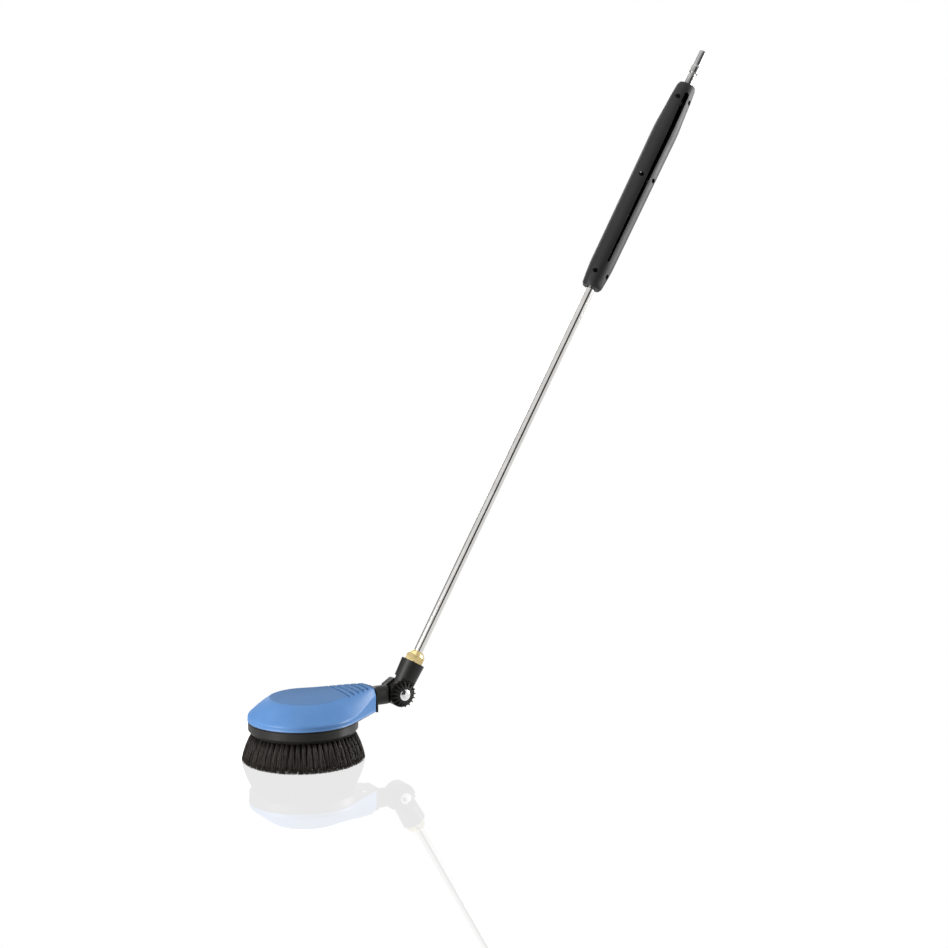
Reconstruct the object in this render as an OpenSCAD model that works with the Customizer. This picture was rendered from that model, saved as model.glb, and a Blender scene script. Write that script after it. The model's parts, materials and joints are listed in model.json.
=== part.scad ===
// Rotary wash brush on a lance, for a pressure washer.
// Water runs down the lance, through the tilting knuckle and the neck, and
// drives a turbine wheel under the blue cover. A reduction gear turns the brush.
// The origin is on the brush's axis, in the plane of the bristle tips.

/* [Brush] */
// Diameter across the splayed bristle tips
brush_d = 180; // [176:1:184]
// Outside diameter of the black brush ring
ring_d = 160; // [158:1:161]
// Height of the ring's underside above the bristle tips
root_z = 41; // [40:0.5:42]
// Number of water outlets in the brush plate
outlets = 6; // [4:1:8]

/* [Head cover] */
// Diameter of the round end of the cover at its lower edge
cover_d = 161; // [160:1:162]
// Thickness of the cover's wall
cover_wall = 2.8; // [2.4:0.1:3]
// Height of the cover's top above the brush's axis
top_z = 93; // [93:0.5:95]
// Height of the cover's top at the neck end
end_top_z = 97; // [96:0.5:98]
// Distance of the cover's neck end from the brush's axis
cover_end_x = 110.5; // [110:0.5:111]

/* [Gear train] */
// Teeth of the internal gear in the brush plate
ring_teeth = 72; // [72]
// Teeth of the small gears
pinion_teeth = 12; // [12]
// Teeth of the large reduction gear
wheel_teeth = 48; // [48]
// Number of blades on the turbine wheel
blades = 12; // [10:1:14]

/* [Knuckle] */
// Distance of the knuckle's axis from the brush's axis
pivot_x = 156.5; // [156:0.5:158]
// Height of the knuckle's axis above the bristle tips
pivot_z = 79; // [78:0.5:80]
// Angle of the lance above the head
lance_angle = 60.5; // [40:0.5:80]
// Diameter of the two round ears
ear_d = 40; // [39:0.5:41]
// Number of teeth round the star knob
knob_teeth = 17; // [15:1:19]

/* [Lance] */
// Outside diameter of the steel tube
tube_d = 13.5; // [13.5]
// Distance of the tube's upper end from the knuckle's axis
tube_end = 1046; // [1030:1:1046]
// Width across flats of the brass nut
nut_af = 27; // [24:1:27]

/* [Handle] */
// Start of the handle, from the knuckle's axis
grip_start = 687; // [680:1:690]
// Length of the handle
grip_len = 361; // [355:1:361]
// Largest diameter of the handle
grip_d = 40.7; // [39:0.1:42]
// Wall thickness of the handle shells
grip_wall = 3; // [2.5:0.1:3.5]
// Turn of the handle about the tube
grip_turn = -9.6; // [-15:0.1:15]

/* [Hidden] */
$fn = 96;
eps = 0.01;

// Heights of the layers in the head
ring_top_z = 57.2;
base_z = 57.8;
skirt_z = 59.5;
plate_z = 61;
skirt_top_z = 67;
gear_z = 62;
gear_h = 5.5;
cup_z = 69.5;
cup_floor_z = 71.5;
boss_h = 4.7;
lid_z = 86.5;
lid_top_z = 88.5;
neck_z = 78.8;

// Brush plate and hub
ring_r = ring_d / 2;
block_top_z = 49;
web_z = 43.5;
web_top_z = 46.5;
block_r = 46;
hub_r = 18;
hub_bore_r = 12.5;
stub_r = 10;

// Gears: module, centre distances and the places of the two shafts
ring_module = 1.5;
wheel_module = 1;
stub_tooth = 0.8;
tooth_root = 1.2;
tooth_play = 0.12;
ring_pitch_r = ring_module * ring_teeth / 2;
idler_reach = ring_module * (ring_teeth - pinion_teeth) / 2;
wheel_reach = wheel_module * (wheel_teeth + pinion_teeth) / 2;
idler_angle = 10;
turbine_angle = -120;
idler_pos = idler_reach * [cos(idler_angle), sin(idler_angle)];
turbine_pos = idler_pos + wheel_reach * [cos(turbine_angle), sin(turbine_angle)];
ring_gear_top_z = 56.6;
ring_gear_r = 62;
axle_r = 4;
shaft_r = 3;
run_gap = 0.05;

// Turbine chamber
cup_r = 25.5;
cup_wall = 2.3;
wheel_r = 22;
post_angles = [-50, -120, 170];
post_reach = 22;

// Screws under the cover
cover_screw_pos = [[-42, -38], [-42, 38], [88, -21], [88, 21]];
neck_screw_y = 12;
neck_screw_z = 65.7;
neck_plate_y = 14.8;
neck_plate_z = 63.3;
neck_plate_h = 25;

// Knuckle
ear_r = ear_d / 2;
ear_t = 12;
ear_gap = 0.15;
sweep_r = ear_r + 4.5;
bolt_r = 4;
chamber_r = 9;
chamber_d = 8;
channel_y = 4;
neck_r = 14.4;
barrel_start = 21.5;
barrel_end = 50;
washer_y = -ear_t - 0.2;
washer_t = 1.5;
knob_y = washer_y - washer_t - 0.15;
knob_t = 7.8;
knob_root_r = 13.3;
knob_tip_r = 19;
dome_r = 8.3;

// Lance
tube_r = tube_d / 2;
tube_bore_r = 4.5;
tube_start = 34;
nut_bore_r = 10.6;
nut_top = 67.5;
grip_end = grip_start + grip_len;
screw_rows = [grip_start + 24, grip_start + 194, grip_start + 334];
screw_x = 11.2;
screw_seat = 7.5;
slot_start = grip_start + 46;
slot_end = grip_start + 342;

// ---- Shapes that several pieces share ----

// Difference between the tangent and the angle, in degrees, where an involute from rb reaches r
function involute(r, rb) = let (a = acos(min(1, rb / r))) tan(a) * 180 / PI - a;

// Half the angle of a tooth at radius r, for pitch radius rp and play in millimetres at the pitch circle
function half_tooth(r, rp, teeth, play) =
    let (rb = rp * cos(20))
    90 / teeth - play / rp * 90 / PI + involute(rp, rb) - involute(max(r, rb), rb);

// Outline of a gear with straight-sided steps along each involute flank
module gear_outline(teeth, size, tip, root, play) {
    rp = size * teeth / 2;
    radii = [rp - root * size, rp - 0.4 * size, rp, rp + 0.5 * tip * size, rp + tip * size];
    polygon([
        for (i = [0:teeth - 1], side = [-1, 1], k = [0:4])
            let (r = radii[side < 0 ? k : 4 - k], a = i * 360 / teeth + side * half_tooth(r, rp, teeth, play))
            r * [cos(a), sin(a)]
    ]);
}

// Points along an arc about a centre
function arc(centre, r, from, to, steps) = [
    for (i = [0:steps]) let (a = from + (to - from) * i / steps) centre + r * [cos(a), sin(a)]
];

// Plan of the head: a round end of radius r at x = cx, with straight sides that
// are tangent to it and meet the neck end at x = xe, half width he, corner radius rc
module teardrop(r, cx, xe, he, rc) {
    corner = [xe - rc, he - rc];
    a = atan2(corner.y, corner.x - cx) + acos((r - rc) / norm(corner - [cx, 0]));
    polygon(concat(
        arc([cx, 0], r, a, 360 - a, 72), arc([corner.x, -corner.y], rc, -a, 0, 6), arc(corner, rc, 0, a, 6)
    ));
}

// Outer form of the head cover, drawn in by an inset on every side
module cover_form(inset) {
    low = inset > 0 ? skirt_z - 1 : skirt_z;
    hull() {
        translate([0, 0, low]) linear_extrude(skirt_top_z - 0.3 * inset - low)
            teardrop(cover_d / 2 - inset, 0, cover_end_x - inset, 18 - inset, 7 - inset);
        translate([4, 0, top_z - inset - 1]) cylinder(r = 51 - 0.6 * inset, h = 1, $fn = 64);
        translate([cover_end_x - 8, 0, end_top_z - 8]) rotate([90, 0, 0])
            cylinder(r = 8 - inset, h = 2 * (13 - inset), center = true, $fn = 48);
    }
}

// Countersunk screw pointing up, with its flat face at z = 0
module countersunk(head_r, r, length) {
    cylinder(r1 = head_r, r2 = r, h = head_r - r);
    cylinder(r = r, h = length);
}

// Pan-head screw pointing up, with the underside of its head at z = 0
module pan_screw(head_r, head_h, r, length) {
    difference() {
        translate([0, 0, -head_h]) cylinder(r = head_r, h = head_h);
        translate([0, 0, -head_h - eps]) for (a = [0, 90]) rotate(a)
            translate([-head_r * 0.6, -0.4, 0]) cube([head_r * 1.2, 0.8, head_h * 0.6]);
    }
    cylinder(r = r, h = length);
}

// Ring of rectangular section about the Z axis
module ring(outer, inner, height) {
    difference() {
        cylinder(r = outer, h = height);
        translate([0, 0, -1]) cylinder(r = inner, h = height + 2);
    }
}

// Places its children in the lance's own frame: the knuckle's axis is the origin and +Z runs up the lance
module on_lance() {
    translate([pivot_x, 0, pivot_z]) rotate([0, 90 - lance_angle, 0]) children();
}

// Places its children on the knuckle's axis, with +Z along +Y and the ears' joint face at z = 0
module on_pivot() {
    translate([pivot_x, 0, pivot_z]) rotate([-90, 0, 0]) children();
}

// Places its children at the turbine shaft
module on_turbine() {
    translate([turbine_pos.x, turbine_pos.y, 0]) children();
}

// ---- Head ----

module top_cover() {
    color("steelblue") difference() {
        union() {
            difference() {
                cover_form(0);
                cover_form(cover_wall);
                // Opening at the neck end, behind the base's flange
                translate([cover_end_x - 6, -neck_plate_y - 0.3, skirt_z - 1])
                    cube([12, 2 * neck_plate_y + 0.6, neck_plate_z + neck_plate_h - skirt_z + 1.3]);
            }
            intersection() {
                cover_form(0.5);
                for (p = cover_screw_pos) translate([p.x, p.y, plate_z]) cylinder(r = 4.5, h = 30);
            }
        }
        for (p = cover_screw_pos) translate([p.x, p.y, plate_z - 1]) cylinder(r = 1.6, h = 16);
        // Cross grooves in the top, towards the neck
        for (i = [0:5]) translate([57 + 9.6 * i - 1, -40, end_top_z + 0.3 - (5 - i) * 0.42])
            rotate([0, 2.4, 0]) cube([2, 80, 6]);
    }
}

module cover_screws() {
    color("silver") for (p = cover_screw_pos) translate([p.x, p.y, base_z]) countersunk(3.2, 1.55, 14);
}

module housing_base() {
    flange_t = 2.7;
    color("dimgray") difference() {
        union() {
            // Rim that shows below the cover, and the plate that fits inside its skirt
            translate([0, 0, base_z]) linear_extrude(skirt_z - base_z)
                teardrop(ring_r - 0.2, 0, cover_end_x + 0.3, 17.5, 6.5);
            translate([0, 0, skirt_z - eps]) linear_extrude(plate_z - skirt_z + eps)
                teardrop(cover_d / 2 - cover_wall - 0.3, 0, cover_end_x - 3.2, 14.5, 4);
            // Flange round the neck
            translate([cover_end_x + 0.3, 0, 0]) rotate([90, 0, 90]) linear_extrude(flange_t) polygon(concat(
                [[-17.5, base_z], [17.5, base_z]],
                arc([10.5, base_z + 28.4], 7, 0, 90, 8), arc([-10.5, base_z + 28.4], 7, 90, 180, 8)
            ));
            // Boss and stub that carry the brush
            translate([0, 0, 53.3]) cylinder(r = 15, h = base_z - 53.3 + eps);
            translate([0, 0, 41]) cylinder(r = stub_r, h = 14);
            // Seat of the lower turbine bush
            on_turbine() translate([0, 0, plate_z - eps]) cylinder(r = 8, h = 0.8);
        }
        translate([0, 0, 40]) cylinder(r = 3.4, h = 15);
        translate([idler_pos.x, idler_pos.y, 50]) cylinder(r = 12, h = 20);
        on_turbine() translate([0, 0, 50]) cylinder(r = 5, h = 20);
        translate([cover_end_x - 1, 0, neck_z]) rotate([0, 90, 0]) cylinder(r = neck_r + 0.05, h = 6);
        for (s = [-1, 1]) translate([cover_end_x - 1, s * neck_screw_y, neck_screw_z]) rotate([0, 90, 0])
            cylinder(r = 1.5, h = 6);
        for (p = cover_screw_pos) translate([p.x, p.y, base_z]) countersunk(3.3, 1.7, 6);
        for (a = post_angles) on_turbine() rotate(a) translate([post_reach, 0, base_z]) countersunk(3.3, 1.6, 6);
        // Drains that let the used water down to the bristles
        for (a = [100:40:260]) rotate(a) translate([32, 0, base_z - 1]) cylinder(r = 4, h = 6);
    }
}

module neck() {
    ear_x = pivot_x - 104;
    color("#26241f") difference() {
        union() {
            translate([107.5, -neck_plate_y, neck_plate_z]) cube([3.3, 2 * neck_plate_y, neck_plate_h]);
            translate([110.7, 0, neck_z]) rotate([0, 90, 0]) cylinder(r = neck_r, h = pivot_x - 110.7 - 12);
            translate([99, 0, neck_z]) rotate([0, 90, 0]) cylinder(r = 9.5, h = 10);
            on_pivot() translate([0, 0, ear_gap]) cylinder(r = ear_r, h = ear_t);
            // Raised shoulder where the neck runs into its ear
            on_pivot() translate([0, 0, ear_gap]) linear_extrude(ear_t)
                polygon([[0, 2], [0, -ear_r + 0.4], [-8.7, -22.5], [-22, -13.8], [-26, -4], [-12, 2]]);
        }
        // Room for the arm's ear to swing past
        on_pivot() translate([0, 0, -20]) cylinder(r = sweep_r, h = 20 + ear_gap);
        on_pivot() cylinder(r = chamber_r, h = chamber_d);
        on_pivot() cylinder(r = bolt_r + 0.05, h = 20);
        on_pivot() ring(14.1, 10.9, 3);
        // Seat of the nozzle, then the offset water channel
        translate([98, 0, neck_z]) rotate([0, 90, 0]) cylinder(r = 7.3, h = 13);
        translate([110, channel_y, neck_z]) rotate([0, 90, 0]) cylinder(r = 3, h = pivot_x - 110);
        for (s = [-1, 1]) translate([106, s * neck_screw_y, neck_screw_z]) rotate([0, 90, 0])
            cylinder(r = 1.6, h = 6);
    }
}

module neck_screws() {
    color("silver") for (s = [-1, 1]) translate([107.5, s * neck_screw_y, neck_screw_z]) rotate([0, 90, 0])
        pan_screw(2.4, 1.8, 1.45, 5.5);
}

module neck_seal() {
    color("#1a1a1a") translate([109.2, 0, neck_z]) rotate([0, 90, 0]) ring(7.2, 4.2, 1.7);
}

module jet_nozzle() {
    tip_x = turbine_pos.x + sqrt(cup_r * cup_r - turbine_pos.y * turbine_pos.y) + 4;
    color("goldenrod") translate([tip_x, 0, neck_z]) rotate([0, 90, 0]) difference() {
        rotate_extrude() polygon([
            [0, 0], [2.6, 0], [4.6, 7], [4.6, 99 - tip_x - 5], [9, 99 - tip_x - 5], [9, 98.8 - tip_x],
            [7.25, 98.8 - tip_x], [7.25, 109.2 - tip_x], [0, 109.2 - tip_x]
        ]);
        translate([0, 0, -1]) cylinder(r = 1, h = 8);
        translate([0, 0, 6]) cylinder(r = 3, h = 70);
    }
}

module turbine_housing() {
    color("whitesmoke") difference() {
        union() {
            on_turbine() translate([0, 0, cup_z]) cylinder(r = cup_r, h = lid_z - cup_z);
            // Arm and boss that hold the reduction gear's axle
            translate([idler_pos.x, idler_pos.y, cup_z]) cylinder(r = 9, h = cup_floor_z - cup_z);
            on_turbine() rotate(turbine_angle + 180) translate([cup_r - 5, -8, cup_z])
                cube([wheel_reach - cup_r + 5, 16, cup_floor_z - cup_z]);
            translate([idler_pos.x, idler_pos.y, cup_z]) cylinder(r = 6.5, h = boss_h);
            for (a = post_angles) on_turbine() rotate(a) translate([post_reach, 0, plate_z])
                cylinder(r = 3.4, h = cup_z - plate_z + eps);
        }
        on_turbine() translate([0, 0, cup_floor_z]) cylinder(r = cup_r - cup_wall, h = 30);
        on_turbine() translate([0, 0, cup_z - 1]) cylinder(r = 4.5, h = 5);
        translate([idler_pos.x, idler_pos.y, cup_z - 1]) cylinder(r = axle_r, h = 9);
        // Window for the water jet, and drains in the floor
        translate([turbine_pos.x + 10, 0, neck_z]) rotate([0, 90, 0]) cylinder(r = 4.2, h = 30);
        for (a = [150, 210, 270]) on_turbine() rotate(a) translate([14, 0, cup_z - 1]) cylinder(r = 3.5, h = 4);
        for (a = post_angles) on_turbine() rotate(a) translate([post_reach, 0, plate_z - 1])
            cylinder(r = 1.5, h = 8);
    }
}

module chamber_screws() {
    color("silver") for (a = post_angles) on_turbine() rotate(a) translate([post_reach, 0, base_z])
        countersunk(3.2, 1.45, 9.5);
}

module chamber_lid() {
    color("whitesmoke") difference() {
        on_turbine() union() {
            translate([0, 0, lid_z]) cylinder(r1 = cup_r, r2 = cup_r - 0.8, h = lid_top_z - lid_z);
            translate([0, 0, lid_top_z - eps]) cylinder(r = 8, h = 1.2);
        }
        on_turbine() translate([0, 0, lid_z - 1]) cylinder(r = 5, h = 6);
        for (a = [20, 140, 260]) on_turbine() rotate(a) translate([cup_r - 1.9, 0, lid_z - 1])
            cylinder(r = 0.9, h = 6);
    }
}

module lid_screws() {
    color("silver") for (a = [20, 140, 260]) on_turbine() rotate(a) translate([cup_r - 1.9, 0, lid_top_z])
        mirror([0, 0, 1]) pan_screw(1.7, 0.9, 0.85, lid_top_z - lid_z);
}

module shaft_bushes() {
    color("#a8844a") on_turbine() {
        translate([0, 0, base_z]) ring(4.98, shaft_r + run_gap, 3.9);
        translate([0, 0, lid_z]) ring(4.98, shaft_r + run_gap, 3);
    }
}

module idler_axle() {
    color("silver") translate([idler_pos.x, idler_pos.y, 0]) {
        translate([0, 0, 49.4]) cylinder(r = 6, h = 0.9);
        translate([0, 0, 50]) cylinder(r = axle_r, h = cup_z + boss_h - 50);
    }
}

module hub_washer() {
    color("silver") translate([0, 0, 39.2]) ring(16, 4.3, 1.8);
}

module hub_screw() {
    color("silver") translate([0, 0, 39.2]) {
        translate([0, 0, -5]) difference() {
            cylinder(r = 7.5, h = 5, $fn = 6);
            translate([0, 0, -1]) cylinder(r = 3.5, h = 2);
        }
        cylinder(r = 3.38, h = 14);
    }
}

// ---- Gear train ----

module turbine_wheel() {
    color("ivory") on_turbine() difference() {
        union() {
            translate([0, 0, 72.3]) cylinder(r = wheel_r, h = 1.5);
            translate([0, 0, 72.3]) cylinder(r = 6.5, h = 12.7);
            for (i = [0:blades - 1]) rotate(i * 360 / blades) translate([0, 0, 73.7]) linear_extrude(11.3)
                intersection() {
                    translate([14, -5.2]) difference() {
                        circle(r = 8);
                        circle(r = 6.8);
                    }
                    translate([5.5, 0]) square([16, 8]);
                }
        }
        translate([0, 0, 70]) cylinder(r = shaft_r, h = 20);
    }
}

module turbine_shaft() {
    color("silver") on_turbine() translate([0, 0, base_z]) cylinder(r = shaft_r, h = 31.5);
}

module turbine_pinion() {
    color("#b08d57") on_turbine() difference() {
        union() {
            translate([0, 0, gear_z]) linear_extrude(gear_h) rotate(15)
                gear_outline(pinion_teeth, wheel_module, stub_tooth, tooth_root, tooth_play);
            translate([0, 0, gear_z + gear_h]) cylinder(r = 4.2, h = 3.9);
        }
        translate([0, 0, gear_z - 1]) cylinder(r = shaft_r, h = 20);
    }
}

module reduction_gear() {
    color("ivory") translate([idler_pos.x, idler_pos.y, 0]) difference() {
        union() {
            translate([0, 0, gear_z]) linear_extrude(gear_h)
                gear_outline(wheel_teeth, wheel_module, stub_tooth, tooth_root, tooth_play);
            translate([0, 0, 50.6]) linear_extrude(gear_z - 50.6) rotate(idler_angle)
                gear_outline(pinion_teeth, ring_module, stub_tooth, tooth_root, tooth_play);
            translate([0, 0, gear_z + gear_h - eps]) cylinder(r = 7, h = 1.6);
        }
        translate([0, 0, 45]) cylinder(r = axle_r + run_gap, h = 30);
    }
}

// ---- Brush ----

module brush_plate() {
    color("#1f1f1f") difference() {
        union() {
            rotate_extrude() polygon([
                [block_r, root_z], [ring_r - 4.5, root_z], [ring_r, root_z + 5.4], [ring_r, ring_top_z],
                [ring_r - 3, ring_top_z], [ring_r - 3, block_top_z], [block_r, block_top_z]
            ]);
            translate([0, 0, web_z]) ring(block_r + 1, hub_r - 1, web_top_z - web_z);
            translate([0, 0, root_z + 0.5]) ring(hub_r, hub_bore_r, 11.5);
            for (i = [0:outlets - 1]) rotate((i + 0.5) * 360 / outlets) translate([hub_r - 1, -1.5, root_z + 1])
                cube([block_r - hub_r + 2, 3, 6.5]);
        }
        for (i = [0:outlets - 1]) rotate(i * 360 / outlets) translate([32, 0, web_z - 3])
            cylinder(r = 8, h = 12);
    }
}

module hub_bush() {
    color("#b08d57") translate([0, 0, root_z + 0.5]) ring(hub_bore_r - 0.02, stub_r + run_gap, 11.5);
}

module ring_gear() {
    color("ivory") translate([0, 0, block_top_z]) linear_extrude(ring_gear_top_z - block_top_z) difference() {
        circle(r = ring_gear_r);
        gear_outline(ring_teeth, ring_module, 1, stub_tooth, -tooth_play);
    }
}

// One row of bristles: roots between r0 and r1 under the plate, tips between t0 and t1 at z = 0
module bristle_row(r0, r1, t0, t1) {
    color("#2b2622") rotate_extrude() polygon([[r0, root_z], [t0, 0], [t1 - 0.6, 0], [t1, 3], [r1, root_z]]);
}

module outer_bristles() {
    bristle_row(70, 75, brush_d / 2 - 10, brush_d / 2);
}

module middle_bristles() {
    bristle_row(61, 66, brush_d / 2 - 23, brush_d / 2 - 12);
}

module inner_bristles() {
    bristle_row(52, 57, brush_d / 2 - 35, brush_d / 2 - 25);
}

// ---- Knuckle ----

module pivot_bolt() {
    color("silver") on_pivot() difference() {
        union() {
            translate([0, 0, -21.5]) cylinder(r = bolt_r, h = 21.5 + ear_gap + ear_t);
            translate([0, 0, ear_gap + ear_t]) cylinder(r1 = 9, r2 = 7.5, h = 3.5);
        }
        translate([0, 0, ear_gap + ear_t + 1.5]) cylinder(r = 3.5, h = 3, $fn = 6);
    }
}

module pivot_seal() {
    color("#1a1a1a") on_pivot() translate([0, 0, 1.42]) rotate_extrude() translate([12.5, 0]) circle(r = 1.5, $fn = 48);
}

module clamp_washer() {
    color("silver") on_pivot() translate([0, 0, washer_y - washer_t]) ring(11, bolt_r + 0.15, washer_t);
}

module star_knob() {
    color("#1c1c1c") on_pivot() translate([0, 0, knob_y]) mirror([0, 0, 1]) difference() {
        union() {
            cylinder(r = knob_root_r, h = knob_t - 1);
            for (i = [0:knob_teeth - 1]) rotate(i * 360 / knob_teeth) linear_extrude(knob_t - 1.4)
                polygon([[knob_root_r - 1.5, -1.9], [knob_tip_r, -0.9], [knob_tip_r, 0.9], [knob_root_r - 1.5, 1.9]]);
            translate([0, 0, knob_t - 1 - eps]) cylinder(r1 = knob_root_r, r2 = dome_r + 2.2, h = 1);
        }
        translate([0, 0, -1]) cylinder(r = bolt_r + 0.3, h = 12);
        translate([0, 0, 3]) cylinder(r = dome_r + 0.05, h = 12);
    }
}

module dome_nut() {
    dome_h = 2.6;
    cap_r = (dome_r * dome_r + dome_h * dome_h) / (2 * dome_h);
    color("silver") on_pivot() translate([0, 0, knob_y - 3]) mirror([0, 0, 1]) difference() {
        union() {
            cylinder(r = dome_r, h = 4.8);
            intersection() {
                translate([0, 0, 4.8 + dome_h - cap_r]) sphere(r = cap_r);
                translate([0, 0, 4.7]) cylinder(r = dome_r, h = 4);
            }
        }
        translate([0, 0, -1]) cylinder(r = bolt_r + 0.08, h = 6);
    }
}

module knuckle_arm() {
    color("#26241f") difference() {
        union() {
            on_pivot() translate([0, 0, -ear_t]) cylinder(r = ear_r, h = ear_t - ear_gap);
            // Lower end of the barrel, flat where the knob's washer bears on it
            intersection() {
                on_lance() translate([0, 0, 8]) cylinder(r1 = 16.4, r2 = 17.01, h = 14);
                on_pivot() translate([0, 0, -ear_t]) cylinder(r = 40, h = ear_t - ear_gap);
            }
            on_lance() translate([0, 0, barrel_start])
                cylinder(r1 = 17, r2 = 18.25, h = barrel_end - barrel_start);
        }
        // Room for the neck's ear to swing past
        on_pivot() translate([0, 0, -ear_gap]) cylinder(r = sweep_r, h = 24);
        on_pivot() translate([0, 0, -chamber_d]) cylinder(r = chamber_r, h = chamber_d + 1);
        on_pivot() translate([0, 0, -20]) cylinder(r = bolt_r + 0.25, h = 30);
        on_lance() {
            translate([0, -channel_y, 0]) cylinder(r = 3, h = 34);
            translate([0, 0, 33]) cylinder(r = tube_r + 0.1, h = 8);
            translate([0, 0, 36]) cylinder(r = nut_bore_r, h = 20);
        }
    }
}

// ---- Lance ----

module tube_seal() {
    color("#1a1a1a") on_lance() translate([0, 0, 36]) ring(nut_bore_r - 0.1, tube_r + 0.05, 3.5);
}

module lance_nut() {
    corner_r = nut_af / 2 / cos(30);
    color("gold") on_lance() difference() {
        union() {
            translate([0, 0, 40]) cylinder(r = nut_bore_r - 0.1, h = 11);
            intersection() {
                translate([0, 0, barrel_end]) cylinder(r = corner_r, h = nut_top - barrel_end, $fn = 6);
                rotate_extrude() polygon([
                    [0, barrel_end], [corner_r - 1.2, barrel_end], [corner_r, barrel_end + 1],
                    [corner_r, barrel_end + 7], [corner_r - 1.6, barrel_end + 10.5],
                    [corner_r - 4.6, barrel_end + 14.5], [8.2, nut_top], [0, nut_top]
                ]);
            }
        }
        translate([0, 0, 39]) cylinder(r = tube_r + 0.1, h = 40);
    }
}

module lance_tube() {
    color("silver") on_lance() translate([0, 0, tube_start]) ring(tube_r, tube_bore_r, tube_end - tube_start);
}

// Outline of the handle: distance from its lower end, then radius, drawn in by an inset
function grip_profile(inset) = [
    for (p = [[0, -6.4], [4, -4.2], [20, -2.6], [38, -1.5], [230, -0.4], [268, 0], [286, -0.3],
              [317, -2.4], [336, -3.3], [356, -5], [grip_len, -6.8]])
        [grip_d / 2 + p[1] - inset, grip_start + p[0]]
];

// Radius of the handle at a screw row or a rib, a little under its surface
function grip_r(z) = lookup(z, [for (p = grip_profile(1)) [p.y, p.x]]);

// Half of a turned ring, on the +Y side
module half_turn() {
    rotate_extrude(angle = 180) children();
}

// One half of the handle, on the +Y side: a shell with ribs round the tube and posts for the screws
module grip_shell() {
    outer = grip_profile(0);
    inner = [for (p = grip_profile(grip_wall)) if (p.y > grip_start + 2 && p.y < grip_end - 2) p];
    last = len(inner) - 1;
    bore = tube_r + 0.1;
    difference() {
        union() {
            half_turn() polygon(concat(
                [[bore, grip_start]], outer, [[bore, grip_end], [bore, inner[last].y]],
                [for (i = [last:-1:0]) inner[i]], [[bore, inner[0].y]]
            ));
            for (i = [1:7]) let (z = grip_start + i * grip_len / 8 - 1.5)
                half_turn() translate([bore, z]) square([grip_r(z + 1.5) - bore, 3]);
            for (z = screw_rows, s = [-1, 1]) translate([s * screw_x, 0, z]) rotate([-90, 0, 0])
                cylinder(r = 4, h = screw_seat);
        }
        // Long slot that widens towards the upper end
        rotate([90, 0, 0]) mirror([0, 0, 1]) linear_extrude(40) polygon([
            [-1, slot_start - 1.5], [1, slot_start - 1.5], [1.8, slot_start], [4.3, slot_end],
            [2, slot_end + 4], [-2, slot_end + 4], [-4.3, slot_end], [-1.8, slot_start]
        ]);
    }
}

module handle_front_shell() {
    color("#222222") on_lance() rotate(grip_turn) mirror([0, 1, 0]) difference() {
        grip_shell();
        for (z = screw_rows, s = [-1, 1]) translate([s * screw_x, -1, z]) rotate([-90, 0, 0]) {
            cylinder(r = 1.7, h = 20);
            translate([0, 0, 1 + screw_seat]) cylinder(r = 3.7, h = 20);
        }
    }
}

module handle_rear_shell() {
    color("#222222") on_lance() rotate(grip_turn) difference() {
        grip_shell();
        for (z = screw_rows, s = [-1, 1]) translate([s * screw_x, -1, z]) rotate([-90, 0, 0])
            cylinder(r = 1.5, h = 7.5);
    }
}

module handle_screws() {
    color("silver") on_lance() rotate(grip_turn) for (z = screw_rows, s = [-1, 1])
        translate([s * screw_x, -screw_seat, z]) rotate([-90, 0, 0]) pan_screw(3.3, 2, 1.45, 13.5);
}

module plug_nipple() {
    color("#8d9093") on_lance() difference() {
        rotate_extrude() polygon([
            [0, tube_end - 14], [tube_bore_r - 0.02, tube_end - 14], [tube_bore_r - 0.02, tube_end],
            [tube_r + 0.05, tube_end], [tube_r + 0.05, tube_end + 19.5], [5.6, tube_end + 20.5],
            [5.6, tube_end + 23.5], [7.4, tube_end + 25], [7.4, tube_end + 35.5], [6, tube_end + 38],
            [6, tube_end + 63], [5, tube_end + 64.5], [0, tube_end + 64.5]
        ]);
        translate([0, 0, tube_end - 15]) cylinder(r = 3, h = 81);
    }
}

top_cover();
cover_screws();
housing_base();
neck();
neck_screws();
neck_seal();
jet_nozzle();
turbine_housing();
chamber_screws();
chamber_lid();
lid_screws();
shaft_bushes();
idler_axle();
hub_washer();
hub_screw();
turbine_wheel();
turbine_shaft();
turbine_pinion();
reduction_gear();
brush_plate();
hub_bush();
ring_gear();
outer_bristles();
middle_bristles();
inner_bristles();
pivot_bolt();
pivot_seal();
clamp_washer();
star_knob();
dome_nut();
knuckle_arm();
tube_seal();
lance_nut();
lance_tube();
handle_front_shell();
handle_rear_shell();
handle_screws();
plug_nipple();
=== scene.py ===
# Looks of the rotary wash brush: a drop-shaped blue cover over a round bristle head,
# a clamped knuckle, a steel lance and a long two-part grip. Everything is in metres.
import json
import math

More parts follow.
